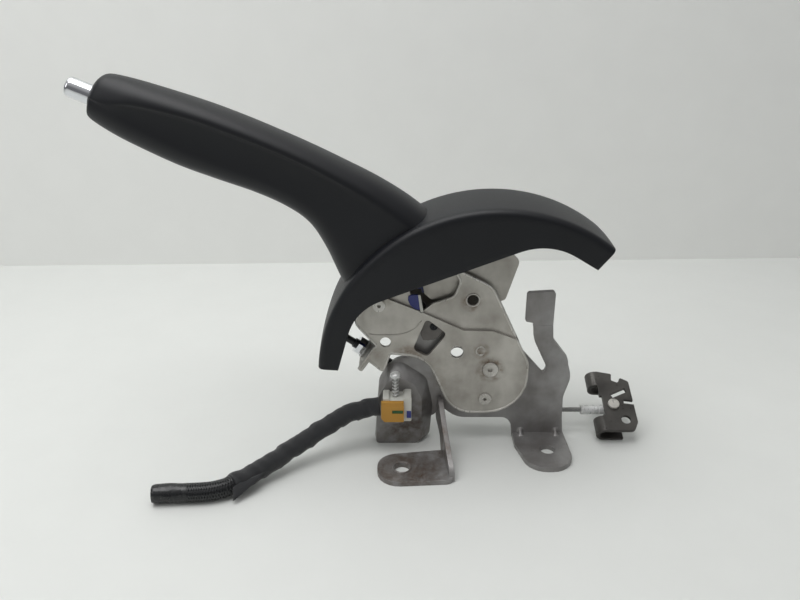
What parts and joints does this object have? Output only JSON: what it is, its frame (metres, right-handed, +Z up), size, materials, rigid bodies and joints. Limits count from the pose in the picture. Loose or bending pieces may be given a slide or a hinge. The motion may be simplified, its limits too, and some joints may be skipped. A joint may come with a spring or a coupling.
{
  "type": "parking brake lever",
  "caption": "Hand lever with grip, slot cover and ratchet on a bent base bracket; lifting it draws a cable with an equaliser plate, and a button lets the pawl off.",
  "frame": {"origin": "centre of the front foot's bolt hole, on the floor", "axes": "+X to the rear of the car (towards the cable), +Y away from the near side, +Z up"},
  "size_m": [0.3262, 0.1075, 0.2206],
  "materials": {
    "bracket_steel": "dull zinc plate",
    "dark_steel": "oiled, hardened",
    "pin_steel": "satin",
    "white_plastic": "satin",
    "ochre_plastic": "satin",
    "bright_steel": "bright zinc plate",
    "spring_steel": "satin",
    "loom_tape": "matt woven tape",
    "conduit_plastic": "glossy",
    "lever_steel": "dull zinc plate",
    "grip_plastic": "fine grain",
    "black_steel": "satin",
    "cable_steel": "stranded",
    "chrome": "polished",
    "blue_nylon": "satin"
  },
  "bodies": {
    "base": {"base_bracket": "bracket_steel", "ratchet_sector": "dark_steel", "sector_rivets": "pin_steel", "pivot_pin": "pin_steel", "pivot_bush": "pin_steel", "switch_body": "white_plastic", "switch_front": "ochre_plastic", "plunger_spring": "spring_steel", "harness_loom": "loom_tape", "conduit_end": "conduit_plastic"},
    "lever": {"lever_near_plate": "lever_steel", "lever_far_plate": "lever_steel", "brace_plate": "lever_steel", "arm_rivet": "pin_steel", "stop_pin": "pin_steel", "cable_guide": "dark_steel", "guide_rivets": "pin_steel", "grip": "grip_plastic", "slot_cover": "grip_plastic", "pawl_pin": "pin_steel", "pawl_spring": "spring_steel", "release_spring": "spring_steel", "anchor_washer": "bright_steel", "adjuster_nut": "bright_steel", "adjuster_rod": "black_steel", "cable_wrap": "cable_steel"},
    "button": {"release_button": "chrome", "release_rod": "spring_steel", "rod_fork": "blue_nylon"},
    "pawl": {"pawl": "dark_steel"},
    "plunger": {"switch_plunger": "bright_steel"},
    "cable": {"brake_cable": "cable_steel", "cable_ferrule": "bright_steel", "equaliser_pin": "pin_steel"},
    "equaliser": {"equaliser": "dark_steel"}
  },
  "joints": [
    {"name": "lever_pivot", "type": "hinge", "parent": "base", "child": "lever", "pos_m": [0.053, 0.037, 0.051], "axis": [0, 1, 0], "range_deg": [0, 26]},
    {"name": "button_push", "type": "slide", "parent": "lever", "child": "button", "axis": [0.9239, 0, -0.3827], "range_m": [0, 0.0054], "stiffness_N_per_m": 1500, "deforming": ["release_spring"]},
    {"name": "pawl_release", "type": "hinge", "parent": "lever", "child": "pawl", "pos_m": [0.019, 0.042, 0.0755], "axis": [0, 1, 0], "range_deg": [0, 18.1]},
    {"name": "plunger_press", "type": "slide", "parent": "base", "child": "plunger", "axis": [0, 0, -1], "range_m": [0, 0.004], "stiffness_N_per_m": 600, "deforming": ["plunger_spring"]},
    {"name": "cable_slide", "type": "slide", "parent": "base", "child": "cable", "axis": [-1, 0, 0], "range_m": [0, 0.0171]},
    {"name": "equaliser_tilt", "type": "hinge", "parent": "cable", "child": "equaliser", "pos_m": [0.134, 0.0475, 0.0135], "axis": [0, -0.4226, 0.9063], "range_deg": [-6, 6]}
  ],
  "couplings": [
    {"joint": "pawl_release", "follows": "button_push", "rad_per_m": 58.18},
    {"joint": "cable_slide", "follows": "lever_pivot", "m_per_rad": 0.0375}
  ]
}
